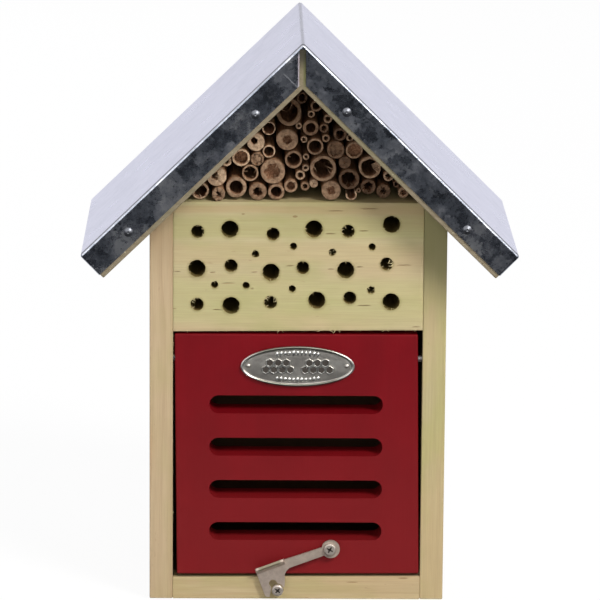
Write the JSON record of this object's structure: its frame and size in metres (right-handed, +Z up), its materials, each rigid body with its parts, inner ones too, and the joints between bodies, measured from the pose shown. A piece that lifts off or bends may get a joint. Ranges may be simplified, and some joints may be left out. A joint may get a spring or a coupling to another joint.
{
  "type": "insect hotel",
  "caption": "Small gabled insect hotel with folded metal roof, reed stems under the gable, a drilled nesting block and a slotted swing-up door held by a pivoting hook.",
  "frame": {"origin": "centre of the body's base footprint, on the surface it stands on", "axes": "+Z up, the door and the nesting holes face -Y, +X to the right when looking at the door"},
  "size_m": [0.2041, 0.1418, 0.2704],
  "materials": {
    "pine": "planed, pressure-treated softwood with a faint green cast",
    "green_pine": "planed softwood, green from its preservative",
    "roof_pine": "sawn, pressure-treated softwood",
    "reed": "dry cut reed and bamboo stems",
    "red_wood": "deep red satin wood stain",
    "galvanised": "hot-dip galvanised sheet with soft spangle",
    "nail_steel": "zinc-plated",
    "nickel": "satin nickel plate",
    "badge_metal": "stamped bright metal with a raised rim"
  },
  "bodies": {
    "carcass": {"back_board": "pine", "bottom_board": "pine", "door_pivot_nail_left": "nail_steel", "door_pivot_nail_right": "nail_steel", "hanger_plate": "nickel", "hanger_screws": "nickel", "latch_catch_screw": "nickel", "left_roof_board": "roof_pine", "left_side_board": "pine", "nest_block": "green_pine", "reed_01": "reed", "reed_02": "reed", "reed_03": "reed", "reed_04": "reed", "reed_05": "reed", "reed_06": "reed", "reed_07": "reed", "reed_08": "reed", "reed_09": "reed", "reed_10": "reed", "reed_11": "reed", "reed_12": "reed", "reed_13": "reed", "reed_14": "reed", "reed_15": "reed", "reed_16": "reed", "reed_17": "reed", "reed_18": "reed", "reed_19": "reed", "reed_20": "reed", "reed_21": "reed", "reed_22": "reed", "reed_23": "reed", "reed_24": "reed", "reed_25": "reed", "reed_26": "reed", "reed_27": "reed", "reed_28": "reed", "reed_29": "reed", "reed_30": "reed", "reed_31": "reed", "reed_32": "reed", "reed_33": "reed", "right_roof_board": "roof_pine", "right_side_board": "pine", "roof_board_nails": "nail_steel", "roof_sheet": "galvanised", "roof_sheet_nails": "nail_steel", "side_board_nails": "nail_steel", "thin_reeds_centre": "reed", "thin_reeds_left": "reed", "thin_reeds_right": "reed"},
    "door": {"door_panel": "red_wood", "badge_plate": "badge_metal", "badge_pins": "badge_metal", "latch_pivot_screw": "nickel", "latch_washer": "nickel"},
    "latch": {"latch_hook": "nickel"}
  },
  "joints": [
    {"name": "door_swing", "type": "hinge", "parent": "carcass", "child": "door", "pos_m": [0, -0.053, 0.1166], "axis": [-1, 0, 0], "range_deg": [0, 110]},
    {"name": "latch_turn", "type": "hinge", "parent": "door", "child": "latch", "pos_m": [0.0159, -0.0611, 0.0253], "axis": [0, 1, 0], "range_deg": [-5, 120]}
  ]
}
